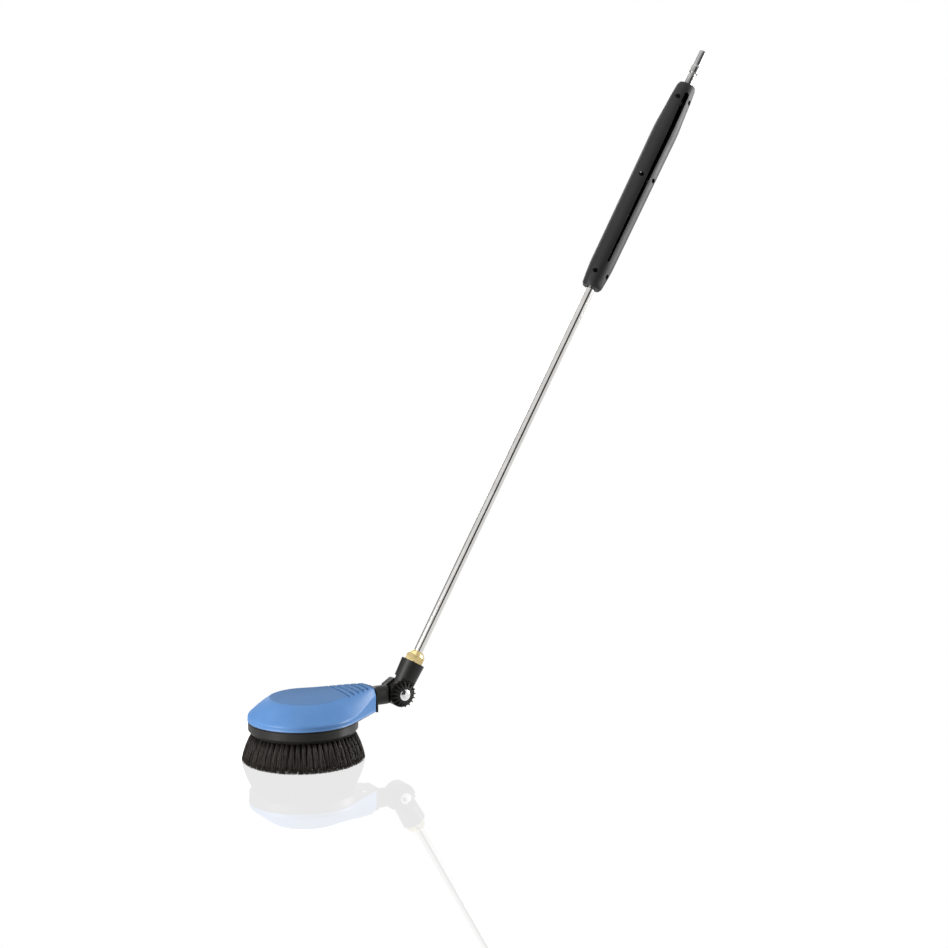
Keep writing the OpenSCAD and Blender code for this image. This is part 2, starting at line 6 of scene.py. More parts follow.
import bmesh
import bpy
import numpy as np
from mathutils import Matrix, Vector


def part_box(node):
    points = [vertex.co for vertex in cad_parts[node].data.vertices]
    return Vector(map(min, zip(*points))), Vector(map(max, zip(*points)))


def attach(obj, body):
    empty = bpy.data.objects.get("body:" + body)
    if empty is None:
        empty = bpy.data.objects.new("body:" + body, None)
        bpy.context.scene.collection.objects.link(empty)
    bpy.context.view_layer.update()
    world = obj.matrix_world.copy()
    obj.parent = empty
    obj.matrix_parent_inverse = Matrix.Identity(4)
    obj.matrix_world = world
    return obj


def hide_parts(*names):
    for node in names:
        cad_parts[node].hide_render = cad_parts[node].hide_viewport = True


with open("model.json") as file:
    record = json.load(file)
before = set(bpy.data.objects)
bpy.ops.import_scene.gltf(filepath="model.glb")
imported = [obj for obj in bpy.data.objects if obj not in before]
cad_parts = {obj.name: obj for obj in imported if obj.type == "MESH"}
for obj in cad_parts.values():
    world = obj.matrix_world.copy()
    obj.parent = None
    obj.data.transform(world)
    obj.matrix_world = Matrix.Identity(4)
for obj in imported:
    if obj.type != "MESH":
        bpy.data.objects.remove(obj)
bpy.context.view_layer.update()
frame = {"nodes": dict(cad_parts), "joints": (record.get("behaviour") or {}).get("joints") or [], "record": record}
joints = {joint["name"]: joint for joint in frame["joints"]}
mounts = {mount["name"]: mount for mount in frame["record"]["mounts"]}
mm = 0.001
pivot = np.array(joints["head_tilt"]["pos_m"])
lanceDir = np.array(mounts["inlet_plug"]["axis"], float)
lanceDir /= np.linalg.norm(lanceDir)
lanceAcross = np.array([lanceDir[2], 0.0, -lanceDir[0]])
lanceSide = np.array([0.0, 1.0, 0.0])
lanceAxes = (pivot, lanceAcross, lanceSide, lanceDir)
knobAxes = (pivot, np.array([1.0, 0, 0]), np.array([0, 0, 1.0]), np.array([0, -1.0, 0]))
print("frame loaded:", len(frame["nodes"]), "nodes")


# Points given by three coordinates along a set of axes: origin + a*first + b*second + c*third
def placed(axes, a, b, c):
    a, b, c = np.broadcast_arrays(np.asarray(a, float), b, c)
    return axes[0] + a[..., None] * axes[1] + b[..., None] * axes[2] + c[..., None] * axes[3]


# Index of every quad of a grid with the given rows and columns, closing round on itself where asked
def gridQuads(rows, cols, closeRows=False, closeCols=False):
    i = np.arange(rows if closeRows else rows - 1)[:, None]
    j = np.arange(cols if closeCols else cols - 1)[None, :]
    iNext, jNext = (i + 1) % rows, (j + 1) % cols
    corners = [i * cols + j, i * cols + jNext, iNext * cols + jNext, iNext * cols + j]
    return np.stack(np.broadcast_arrays(*corners), -1).reshape(-1, 4)


# A piece from a table of points and quads: repeated points are merged and the faces turned outwards
def meshPiece(name, points, quads, body, nodes, smooth):
    mesh = bpy.data.meshes.new(name)
    mesh.from_pydata(points.reshape(-1, 3).tolist(), [], quads.tolist())
    work = bmesh.new()
    work.from_mesh(mesh)
    bmesh.ops.remove_doubles(work, verts=work.verts, dist=2e-6)
    bmesh.ops.dissolve_degenerate(work, edges=work.edges, dist=1e-6)
    bmesh.ops.recalc_face_normals(work, faces=work.faces)
    work.to_mesh(mesh)
    work.free()
    piece = bpy.data.objects.new(name, mesh)
    bpy.context.scene.collection.objects.link(piece)
    smoothed(piece, smooth)
    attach(piece, body)
    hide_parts(*nodes)
    return piece


# Smooth shading with edges sharper than the angle kept crisp
def smoothed(piece, angle):
    mesh = piece.data
    mesh.polygons.foreach_set("use_smooth", np.ones(len(mesh.polygons), bool))
    mesh.set_sharp_from_angle(angle=math.radians(angle))


bevelLook = {"segments": 3, "angle": 32, "flat": 1.0, "smooth": 40}


# A copy of a CAD node with its triangles merged and its edges rounded over by a bevel
def roundedNode(name, node, body, width):
    segments, angle, flat = bevelLook["segments"], bevelLook["angle"], bevelLook["flat"]
    mesh = frame["nodes"][node].data.copy()
    work = bmesh.new()
    work.from_mesh(mesh)
    bmesh.ops.remove_doubles(work, verts=work.verts, dist=4e-6)
    bmesh.ops.dissolve_limit(work, angle_limit=math.radians(flat), verts=work.verts, edges=work.edges)
    work.to_mesh(mesh)
    work.free()
    mesh.materials.clear()
    piece = bpy.data.objects.new(name, mesh)
    bpy.context.scene.collection.objects.link(piece)
    bevel = piece.modifiers.new("edges", "BEVEL")
    bevel.width, bevel.segments = width, segments
    bevel.limit_method, bevel.angle_limit = "ANGLE", math.radians(angle)
    bevel.harden_normals = True
    smoothed(piece, bevelLook["smooth"])
    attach(piece, body)
    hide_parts(node)
    return piece


# Outline with each corner replaced by a curve from one side to the next:
# (1 - t)^2 start + 2 t (1 - t) corner + t^2 end
def filleted(corners, radii, steps=5):
    corners, radii = np.array(corners, float), np.array(radii, float)
    before, after = np.roll(corners, 1, 0) - corners, np.roll(corners, -1, 0) - corners
    lengthBefore, lengthAfter = np.linalg.norm(before, axis=1), np.linalg.norm(after, axis=1)
    cut = np.minimum(radii, 0.49 * np.minimum(lengthBefore, lengthAfter))[:, None]
    start = corners + before / np.maximum(lengthBefore, 1e-12)[:, None] * cut
    end = corners + after / np.maximum(lengthAfter, 1e-12)[:, None] * cut
    t = np.linspace(0, 1, steps + 1)[None, :, None]
    curve = (1 - t) ** 2 * start[:, None] + 2 * t * (1 - t) * corners[:, None] + t ** 2 * end[:, None]
    return curve.reshape(-1, 2)


# A closed outline of (radius, height) turned once round the third of the axes
def turned(name, axes, outline, body, nodes, steps=72, smooth=35):
    angle = np.linspace(0, 2 * np.pi, steps, endpoint=False)[:, None]
    radius, height = outline[None, :, 0], outline[None, :, 1]
    points = placed(axes, radius * np.cos(angle), radius * np.sin(angle), height)
    quads = gridQuads(steps, len(outline), True, True)
    return meshPiece(name, points, quads, body, nodes, smooth)


# One output of a shader node. Arithmetic on it adds Math nodes, with numbers or other outputs.
class Wire:
    def __init__(self, finish, socket):
        self.finish, self.socket = finish, socket

    def math(self, operation, first, second=0.0):
        return self.finish.node("ShaderNodeMath", {"operation": operation}, {0: first, 1: second})

    def __add__(self, other):
        return self.math("ADD", self, other)

    def __sub__(self, other):
        return self.math("SUBTRACT", self, other)

    def __mul__(self, other):
        return self.math("MULTIPLY", self, other)

    def __pow__(self, other):
        return self.math("POWER", self, other)


# A Principled material, with tools that add texture nodes and join them to its sockets
class Finish:
    def __init__(self, name, **uniform):
        self.material = bpy.data.materials.new(name)
        self.material.use_nodes = True
        self.tree = self.material.node_tree
        self.shader = self.tree.nodes["Principled BSDF"]
        for socket, value in uniform.items():
            self.shader.inputs[socket.replace("_", " ")].default_value = value

    def node(self, kind, settings=None, values=None, out=0):
        made = self.tree.nodes.new(kind)
        for key, value in (settings or {}).items():
            if key == "stops":
                ramp = made.color_ramp
                while len(ramp.elements) < len(value):
                    ramp.elements.new(0.5)
                for element, (place, shade) in zip(ramp.elements, value):
                    element.position = place
                    element.color = (shade, shade, shade, 1) if np.isscalar(shade) else (*shade, 1)
            else:
                setattr(made, key, value)
        for key, value in (values or {}).items():
            self.join(made.inputs[key], value)
        return Wire(self, made.outputs[out])

    def join(self, socket, value):
        if isinstance(value, Wire):
            self.tree.links.new(value.socket, socket)
        else:
            socket.default_value = value

    # What already feeds one of the shader's sockets
    def fed(self, socket):
        return Wire(self, self.shader.inputs[socket].links[0].from_socket)

    def feed(self, **links):
        for socket, value in links.items():
            self.join(self.shader.inputs[socket.replace("_", " ")], value)

    def place(self, scale=(1, 1, 1), turn=(0, 0, 0), shift=(0, 0, 0)):
        coords = self.node("ShaderNodeTexCoord", out="Object")
        values = {"Vector": coords, "Scale": scale, "Rotation": turn, "Location": shift}
        return self.node("ShaderNodeMapping", {}, values)

    # The first coordinates of the object's own axes
    def split(self, count):
        parts = self.node("ShaderNodeSeparateXYZ", {}, {"Vector": self.place()}).socket.node
        return [Wire(self, parts.outputs[k]) for k in range(count)]

    def noise(self, scale, detail, roughness, vector=None):
        values = {"Vector": vector or self.place(), "Scale": scale, "Detail": detail, "Roughness": roughness}
        return self.node("ShaderNodeTexNoise", {}, values)

    def band(self, value, low, high, outLow=0.0, outHigh=1.0):
        limits = {"Value": value, "From Min": low, "From Max": high, "To Min": outLow, "To Max": outHigh}
        return self.node("ShaderNodeMapRange", {"interpolation_type": "SMOOTHSTEP"}, limits)

    def mix(self, factor, first, second):
        first, second = [(*c, 1) if isinstance(c, tuple) and len(c) == 3 else c for c in (first, second)]
        return self.node("ShaderNodeMix", {"data_type": "RGBA"}, {0: factor, 6: first, 7: second}, out=2)

    def bump(self, height, distance, strength=1.0):
        return self.node("ShaderNodeBump", {}, {"Height": height, "Distance": distance, "Strength": strength})


def painted(finish, *pieces):
    for piece in pieces:
        target = frame["nodes"][piece] if isinstance(piece, str) else piece
        target.data.materials.clear()
        target.data.materials.append(finish.material)


# Moulded plastic: a fine pebble texture, faint cloudy changes of tone, and a duller bloom in places
def mouldedPlastic(name, tone, tonePale, roughness, grain, grainDepth, specular):
    finish = Finish(name, Specular_IOR_Level=specular, Coat_Roughness=0.25)
    cloud = finish.band(finish.noise(26, 4, 0.6), 0.35, 0.68)
    speck = finish.noise(grain, 4, 0.6)
    worn = finish.band(finish.noise(9, 5, 0.65, finish.place((1, 1, 1), shift=(0.3, 0.1, 0.2))), 0.45, 0.75)
    finish.feed(Base_Color=finish.mix(cloud * 0.6 + worn * 0.4, tone, tonePale),
                Roughness=speck * 0.12 + cloud * 0.05 + worn * 0.04 + (roughness - 0.1),
                Normal=finish.bump(speck, grainDepth))
    return finish


# Metal with fine marks drawn out along one direction of its own axes
def brushedMetal(name, tone, tonePale, roughness, stretch, turn=(0, 0, 0), depth=4e-6):
    finish = Finish(name, Metallic=1.0)
    drawn = finish.noise(900, 3, 0.6, finish.place(stretch, turn))
    cloud = finish.noise(35, 4, 0.6)
    finish.feed(Base_Color=finish.mix(finish.band(cloud, 0.3, 0.7), tone, tonePale),
                Roughness=drawn * 0.1 + cloud * 0.08 + (roughness - 0.09),
                Normal=finish.bump(drawn, depth, 0.6))
    return finish


lanceTurn = (0.0, math.atan2(lanceDir[0], lanceDir[2]), 0.0)
coverPlastic = mouldedPlastic("coverPlastic", (0.125, 0.29, 0.62), (0.145, 0.32, 0.66),
                              roughness=0.42, grain=1500, grainDepth=1.2e-5, specular=0.0)
blackPlastic = mouldedPlastic("blackPlastic", (0.01, 0.0095, 0.009), (0.019, 0.0175, 0.016),
                              roughness=0.44, grain=1300, grainDepth=2.0e-5, specular=0.26)
gripPlastic = mouldedPlastic("gripPlastic", (0.009, 0.009, 0.0092), (0.016, 0.016, 0.016),
                             roughness=0.55, grain=1000, grainDepth=5.5e-5, specular=0.3)
innerPlastic = mouldedPlastic("innerPlastic", (0.74, 0.7, 0.6), (0.84, 0.81, 0.73),
                              roughness=0.4, grain=1600, grainDepth=1.0e-5, specular=0.5)
sealRubber = mouldedPlastic("sealRubber", (0.012, 0.012, 0.012), (0.022, 0.022, 0.022),
                            roughness=0.62, grain=1800, grainDepth=1.5e-5, specular=0.35)
brass = brushedMetal("brass", (0.5, 0.39, 0.18), (0.74, 0.6, 0.31),
                     roughness=0.14, stretch=(1, 1, 0.1), turn=lanceTurn, depth=3e-6)
steel = brushedMetal("steel", (0.55, 0.55, 0.54), (0.66, 0.65, 0.63), roughness=0.3, stretch=(0.2, 1, 1))
tubeSteel = brushedMetal("tubeSteel", (0.6, 0.59, 0.57), (0.68, 0.665, 0.64),
                         roughness=0.13, stretch=(1, 1, 0.03), turn=lanceTurn, depth=5e-7)
plugSteel = brushedMetal("plugSteel", (0.22, 0.222, 0.22), (0.32, 0.322, 0.315),
                         roughness=0.22, stretch=(0.1, 0.1, 1), turn=lanceTurn, depth=6e-6)
darkScrew = brushedMetal("darkScrew", (0.03, 0.03, 0.03), (0.06, 0.06, 0.06),
                         roughness=0.4, stretch=(1, 1, 1))
chrome = brushedMetal("chrome", (0.72, 0.72, 0.72), (0.82, 0.82, 0.82),
                      roughness=0.1, stretch=(1, 1, 1), depth=1e-6)


# Coarse hair: each strand has a tone of its own that evens out towards the tip, and painted shade darkens each
# strand near its root, where the tufts crowd together
def bristleHair(name):
    finish = Finish(name, Specular_IOR_Level=0.35)
    tone = finish.node("ShaderNodeAttribute", {"attribute_name": "strandTone"}, {}, out="Fac")
    height = finish.node("ShaderNodeAttribute", {"attribute_name": "strandHeight"}, {}, out="Fac")
    flecks = finish.noise(420, 3, 0.6)
    base = finish.mix(tone, (0.0045, 0.0037, 0.003), (0.075, 0.058, 0.043))
    tipped = finish.mix(finish.band(height, 0.0, 1.0) * 0.55, base, (0.03, 0.024, 0.019))
    # Painted shade: the lowest third of each strand is darkened towards black
    rootShaded = finish.mix(finish.band(height, 0.0, 0.3, 0.75, 0.0), tipped, (0.003, 0.0025, 0.002))
    finish.feed(Base_Color=rootShaded, Roughness=flecks * 0.15 + tone * 0.1 + 0.42)
    return finish


hair = bristleHair("bristleHair")
print("finishes made")


cover = {
    "skirtRadius": 80.4, "skirtEndHalf": 17.6, "skirtCorner": 6.5, "sideFrom": 109.0,
    "creaseRadius": 51.5, "creaseCentre": 4.0, "creaseEndHalf": 11.9, "creaseCorner": 4.0,
    "endX": 110.4, "joinX": 50.0, "lipZ": 59.5, "lipTop": 60.7, "lipOut": 0.35,
    "shoulderZ": 67.0, "shoulderEndZ": 84.5, "shoulderFrom": 46.0, "shoulderRun": 72.0, "shoulderDrop": 2.2,
    "topZ": 92.3, "topEndZ": 96.3, "riseFrom": 15.0, "riseTo": 105.0, "crown": 1.0, "bulge": 1.5,
    "endRound": 8.0, "grooves": 6, "grooveStart": 57.0, "groovePitch": 9.6, "grooveHalf": 1.8,
    "grooveFlat": 1.2, "grooveDepth": 2.6, "wall": 2.4,
    "grooveLines": (-1.9, -1.8, -1.5, -1.15, -1.05, 0, 1.05, 1.15, 1.5, 1.8, 1.9),
    "lineSteps": {"side": 66, "end": 12, "round": 96, "shoulder": 5, "slope": 12, "crease": 6, "top": 16},
    "skirtShares": (0.25, 0.5, 0.75, 1.0), "lipRound": 0.25, "lipStep": 0.15, "lipBlend": 0.4,
    "slopeFrom": 0.09, "slopeTo": 0.9, "creaseIn": 0.93, "bulgeLow": 0.6, "bulgeGrow": 0.6,
    "spineEase": 1.6, "shoulderEase": 1.15, "shoulderPull": 0.2, "creasePull": 0.15,
    "look": {
        # panel colour and its share: a painted grey reflection mixed into the top panel's colour
        "panel": (0.15, 0.25, 0.42), "panelReflectionShare": 0.5, "panelEdge": (-1.4, -0.2), "lipEdge": (0.2, 3.5),
        "gloss": 0.4, "panelGloss": -0.33, "lipGloss": 0.4, "glossRoughness": 0.38,
        # groove colour, its share and its bounds: painted shade darkening the groove floors
        "grooveShade": (0.03, 0.075, 0.18), "grooveShadeShare": 0.6, "grooveShadeEdge": (0.9, 1.7),
        "grooveShadeFloor": (-3.6, -2.6), "grooveShadeEnd": (-4.0, -3.0),
    },
}


# Plan outline of a round end with two straight sides tangent to it. The first points run along a side by x,
# the rest run round the circle by angle. Half width on a side: (radius - (x - centre) cos(tilt)) / sin(tilt),
# drawn in by the corner circle at the end.
def dropOutline(radius, centre, endX, endHalf, corner, sideX, turn):
    tilt = math.atan2(endHalf, endX - centre) + math.acos(radius / math.hypot(endX - centre, endHalf))
    half = (radius - (sideX - centre) * math.cos(tilt)) / math.sin(tilt)
    cornerX = endX - corner
    cornerY = (radius - corner - (cornerX - centre) * math.cos(tilt)) / math.sin(tilt)
    inCorner = sideX > cornerX + corner * math.cos(tilt)
    rounded = cornerY + np.sqrt(np.maximum(corner ** 2 - np.maximum(sideX - cornerX, 0) ** 2, 0))
    half = np.where(inCorner, rounded, half)
    joinHalf = (radius - (sideX[-1] - centre) * math.cos(tilt)) / math.sin(tilt)
    first = math.atan2(joinHalf, sideX[-1] - centre)
    angle = first + (np.pi - first) * turn
    reach = np.where(angle < tilt, radius / np.cos(np.minimum(angle - tilt, 0)), radius)
    x = np.concatenate([sideX, centre + reach * np.cos(angle)])
    y = np.concatenate([half, reach * np.sin(angle)])
    return np.stack([x, y], -1)


def ease(value):
    value = np.clip(value, 0, 1)
    return value * value * (3 - 2 * value)


# The cover: lines run from the lip up the skirt, over a rounded shoulder, up a slightly full slope, over the
# crease and across a crowned top to the middle. Height = the least of the shape's own height and the floors
# of the grooves.
def coverShell():
    c, steps, endX, endRound = cover, cover["lineSteps"], cover["endX"], cover["endRound"]
    sides = np.linspace(c["sideFrom"], c["joinX"], steps["side"])
    sides = sides[sides < endX - endRound]
    centres = c["grooveStart"] + c["groovePitch"] * np.arange(c["grooves"])
    lines = (centres[:, None] + np.array(c["grooveLines"])).ravel()
    ends = endX - endRound + endRound * np.sin(np.linspace(0, np.pi / 2, steps["end"]))
    sideX = np.unique(np.round(np.concatenate([sides, lines, ends]), 4))[::-1]
    sideX = sideX[sideX <= endX]
    turn = np.linspace(0, 1, steps["round"] + 1)[1:]

    def plan(radius, centre, endHalf, corner):
        return dropOutline(radius, centre, endX, endHalf, corner, sideX, turn)

    outer = plan(c["skirtRadius"], 0.0, c["skirtEndHalf"], c["skirtCorner"])
    lip = plan(c["skirtRadius"] + c["lipOut"], 0.0, c["skirtEndHalf"] + c["lipOut"], c["skirtCorner"])
    crease = plan(c["creaseRadius"], c["creaseCentre"], c["creaseEndHalf"], c["creaseCorner"])
    roundX = c["creaseCentre"] + (c["joinX"] - c["creaseCentre"]) * (1 - turn) ** c["spineEase"]
    spineX = np.concatenate([sideX, roundX])
    spine = np.stack([spineX, 0 * spineX], -1)
    along = outer[:, 0]
    pastRound = np.maximum(along - endX + endRound, 0)
    drop = endRound - np.sqrt(np.maximum(endRound ** 2 - pastRound ** 2, 0))
    shoulderRise = ease((along - c["shoulderFrom"]) / c["shoulderRun"]) ** c["shoulderEase"]
    shoulderZ = c["shoulderZ"] + (c["shoulderEndZ"] - c["shoulderZ"]) * shoulderRise

    def topHeight(x):
        rise = ease((x - c["riseFrom"]) / (c["riseTo"] - c["riseFrom"]))
        return c["topZ"] + (c["topEndZ"] - c["topZ"]) * rise

    creaseZ = topHeight(crease[:, 0]) - drop
    lineCount = len(along)

    def level(outline, height):
        return np.concatenate([outline, np.broadcast_to(height, lineCount)[:, None]], 1)

    def slopeLevel(share):
        bulge = c["bulge"] * np.sin(np.pi * share) * (c["bulgeLow"] + c["bulgeGrow"] * share)
        return level(outer + (crease - outer) * share, shoulderZ + (creaseZ - shoulderZ) * share + bulge)

    def topLevel(share):
        outline = spine + (crease - spine) * share
        return level(outline, topHeight(outline[:, 0]) - drop + c["crown"] * (1 - share ** 2))

    def bend(first, middle, last, count):
        t = np.linspace(0, 1, count + 2)[1:-1, None, None]
        return list((1 - t) ** 2 * first + 2 * t * (1 - t) * middle + t ** 2 * last)

    skirtFoot = c["lipTop"] + c["lipStep"]
    skirtHeight = shoulderZ - c["shoulderDrop"] - c["lipTop"]
    lipEdge = lip * c["lipBlend"] + outer * (1 - c["lipBlend"])
    levels = [level(lip, c["lipZ"]), level(lip, c["lipTop"] - c["lipRound"]),
              level(lipEdge, c["lipTop"]), level(outer, skirtFoot)]
    levels += [level(outer, skirtFoot + skirtHeight * share) for share in c["skirtShares"]]
    shoulderTop = slopeLevel(c["slopeFrom"])
    shoulderCorner = level(outer, shoulderZ + c["shoulderPull"])
    levels += bend(levels[-1], shoulderCorner, shoulderTop, steps["shoulder"])
    levels += [shoulderTop]
    slopeShares = np.linspace(c["slopeFrom"], c["slopeTo"], steps["slope"])[1:]
    levels += [slopeLevel(share) for share in slopeShares]
    creaseCorner = level(crease, creaseZ + c["creasePull"])
    levels += bend(levels[-1], creaseCorner, topLevel(c["creaseIn"]), steps["crease"])
    levels += [topLevel(share) for share in np.linspace(c["creaseIn"], 0, steps["top"])]
    surface = np.array(levels)
    x, z = surface[..., 0], surface[..., 2]
    away = np.abs(x[..., None] - centres)
    depth = c["grooveDepth"] * (1 - ease((away - c["grooveFlat"]) / (c["grooveHalf"] - c["grooveFlat"])))
    outside = 50.0 * (away >= c["grooveHalf"])
    floor = topHeight(x)[..., None] + c["crown"] - depth + outside
    surface[..., 2] = np.minimum(z, floor.min(-1))
    mirrored = surface * np.array([1, -1, 1])
    both = np.stack([surface, mirrored])
    quads = gridQuads(len(levels), lineCount)
    quads = np.concatenate([quads, quads[:, ::-1] + surface[..., 0].size])
    piece = meshPiece("coverShell", both * mm, quads, "head", ["top_cover"], 50)
    wall = piece.modifiers.new("wall", "SOLIDIFY")
    wall.thickness, wall.offset, wall.use_even_offset = c["wall"] * mm, -1.0, False
    return piece


# The cover's top panel is matt, and its colour is greyed a little: a painted reflection of grey surroundings seen
# at a grazing angle. Its slopes and lip have a soft gloss, and its grooves are darkened with painted shade.
# The panel starts where the height passes the line of the top edge, which rises from front to end:
# panel = smooth step of (z - rise)
def coverGloss(finish):
    c, look = cover, cover["look"]

    # Smooth step between two places in millimetres
    def between(value, places, origin=0.0, outLow=0.0, outHigh=1.0):
        return finish.band(value, (origin + places[0]) * mm, (origin + places[1]) * mm, outLow, outHigh)

    x, _, z = finish.split(3)
    rise = between(x, (c["riseFrom"], c["riseTo"]), 0.0, c["topZ"] * mm, c["topEndZ"] * mm)
    panel = between(z - rise, look["panelEdge"])
    lip = between(z, look["lipEdge"], c["lipTop"], 1.0, 0.0)
    # Painted reflection: the top panel's colour is mixed towards a grey blue
    reflectionGreyed = finish.mix(panel * look["panelReflectionShare"], finish.fed("Base Color"), look["panel"])
    fromStart = x - c["grooveStart"] * mm
    away = fromStart.math("PINGPONG", fromStart, c["groovePitch"] / 2 * mm)
    # Painted shade: the groove floors are darkened towards a deep blue
    grooveShade = between(away, look["grooveShadeEdge"], 0.0, 1.0, 0.0) * between(z - rise, look["grooveShadeFloor"])
    grooveShade = grooveShade * between(x, look["grooveShadeEnd"], c["grooveStart"])
    finish.feed(Base_Color=finish.mix(grooveShade * look["grooveShadeShare"], reflectionGreyed, look["grooveShade"]),
                Coat_Weight=panel * look["panelGloss"] + lip * look["lipGloss"] + look["gloss"])
    finish.shader.inputs["Coat Roughness"].default_value = look["glossRoughness"]


shell = coverShell()
coverGloss(coverPlastic)
painted(coverPlastic, shell)
print("cover made")


bristleRows = {
    "outer": {"tufts": 60, "strands": 120, "root": 72.5, "tip": 84.7, "spreadIn": 4.9, "spreadOut": 5.0,
              "bow": 1.6, "seed": 11, "parts": 2},
    "middle": {"tufts": 52, "strands": 84, "root": 63.5, "tip": 72.5, "spreadIn": 5.0, "spreadOut": 5.0,
               "bow": 1.2, "seed": 12, "parts": 1},
    "inner": {"tufts": 44, "strands": 84, "root": 54.5, "tip": 60.0, "spreadIn": 4.6, "spreadOut": 4.6,
              "bow": 0.8, "seed": 13, "parts": 1},
}
strand = {
    "radius": 0.3, "tipShare": 0.55, "rings": 5, "tuftRadius": 2.1, "fan": 0.74, "wave": 0.55, "uneven": 1.5,
    "reach": 89.6, "gather": 1.15, "tipFloor": 0.15, "tuftTurn": 0.05, "tuftLean": 0.14, "stray": 0.17,
    "depth": 0.3, "inSlack": 1.2, "outSlack": 0.5, "flareFrom": 2.0, "flare": 0.35, "waveTurn": 5.0,
    "lowest": 0.02, "paleShare": 0.95, "tuftShare": 0.2, "paleEase": 2.4, "tipEase": 2.2,
    "thin": 0.75, "thicker": 0.5,
}


# Strands of one row: a root in its tuft's disc, a tip fanned out round the row, and the path between them
# root + (tip - root) t + 4 bow t (1 - t) outwards + wave sin(phase + 5 t) t sideways; each is a tapering
# three-sided tube
def bristleStrands(rowName):
    row, s = bristleRows[rowName], strand
    draw = np.random.default_rng(row["seed"])
    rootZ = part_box(rowName + "_bristles")[1].z / mm
    tufts, each, rings = row["tufts"], row["strands"], s["rings"]
    count = tufts * each
    pitch = 2 * np.pi / tufts
    tuftTurn = np.repeat(np.arange(tufts), each) * pitch
    tuftTurn = tuftTurn + np.repeat(draw.normal(0, s["tuftTurn"], tufts), each) * pitch
    discR = s["tuftRadius"] * np.sqrt(draw.random(count))
    discA = draw.random(count) * 2 * np.pi
    dr, ds = discR * np.cos(discA), discR * np.sin(discA)
    rootR, rootA = row["root"] + dr, tuftTurn + ds / row["root"]
    tuftLean = np.repeat(draw.normal(0, s["tuftLean"], tufts), each)
    side = ds / s["tuftRadius"] * s["fan"] + draw.normal(0, s["stray"], count) + tuftLean
    tipA = tuftTurn + side * pitch
    depth = dr / s["tuftRadius"] + draw.normal(0, s["depth"], count)
    tipR = row["tip"] + np.where(depth > 0, depth * row["spreadOut"], depth * row["spreadIn"])
    inmost = row["tip"] - row["spreadIn"] - s["inSlack"]
    outmost = min(row["tip"] + row["spreadOut"] + s["outSlack"], s["reach"])
    tipR = np.clip(tipR, inmost, outmost)
    flare = np.maximum(tipR - row["tip"] - s["flareFrom"], 0) * s["flare"]
    tipZ = s["tipFloor"] + s["uneven"] * draw.random(count) ** s["tipEase"] + flare
    t = np.linspace(0, 1, rings)[None, :]
    bow = row["bow"] * 4 * t * (1 - t) * (0.5 + draw.random(count))[:, None]
    radial = np.minimum(rootR[:, None] + (tipR - rootR)[:, None] * t + bow, s["reach"])
    phase = draw.random(count)[:, None] * 2 * np.pi
    waves = (draw.random(count) * s["wave"])[:, None] * np.sin(phase + t * s["waveTurn"]) * t / row["tip"]
    around = rootA[:, None] + (tipA - rootA)[:, None] * t ** s["gather"] + waves
    height = rootZ + (tipZ - rootZ)[:, None] * t
    spine = np.stack([radial * np.cos(around), radial * np.sin(around), height], -1)
    outward = np.stack([np.cos(around), np.sin(around), 0 * around], -1)
    sideways = np.stack([-np.sin(around), np.cos(around), 0 * around], -1)
    thick = s["radius"] * (s["thin"] + s["thicker"] * draw.random(count))[:, None]
    thick = thick * (1 - (1 - s["tipShare"]) * t)
    spin = draw.random(count)[:, None] * 2 * np.pi
    corner = np.arange(3)[None, None, :] * 2 * np.pi / 3 + spin[..., None]
    section = (np.cos(corner)[..., None] * outward[:, :, None]
               + np.sin(corner)[..., None] * sideways[:, :, None])
    points = spine[:, :, None] + thick[..., None, None] * section
    points[..., 2] = np.maximum(points[..., 2], s["lowest"])
    tone = draw.random(count) ** s["paleEase"] * s["paleShare"]
    tone = np.clip(tone + np.repeat(draw.random(tufts), each) * s["tuftShare"], 0, 1)
    per, three = rings * 3, np.arange(3)
    walls = gridQuads(rings, 3, closeCols=True)[:, ::-1]
    made = []
    for part, chosen in enumerate(np.array_split(np.arange(count), row["parts"])):
        base = (np.arange(len(chosen)) * per)[:, None]
        faces = (walls[None] + base[..., None]).reshape(-1, 4).tolist()
        faces += (three[None] + base).tolist()
        faces += ((three[::-1] + (rings - 1) * 3)[None] + base).tolist()
        mesh = bpy.data.meshes.new(f"{rowName}Hair{part + 1}")
        mesh.from_pydata((points[chosen].reshape(-1, 3) * mm).tolist(), [], faces)
        for attribute, values in (("strandTone", np.repeat(tone[chosen], per)),
                                  ("strandHeight", np.tile(np.repeat(t[0], 3), len(chosen)))):
            layer = mesh.attributes.new(attribute, "FLOAT", "POINT")
            layer.data.foreach_set("value", values.astype(np.float32))
        mesh.polygons.foreach_set("use_smooth", np.ones(len(mesh.polygons), bool))
        piece = bpy.data.objects.new(mesh.name, mesh)
        bpy.context.scene.collection.objects.link(piece)
        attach(piece, "brush")
        made.append(piece)
    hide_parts(rowName + "_bristles")
    return made


for rowName in bristleRows:
    painted(hair, *bristleStrands(rowName))
print("bristles made")


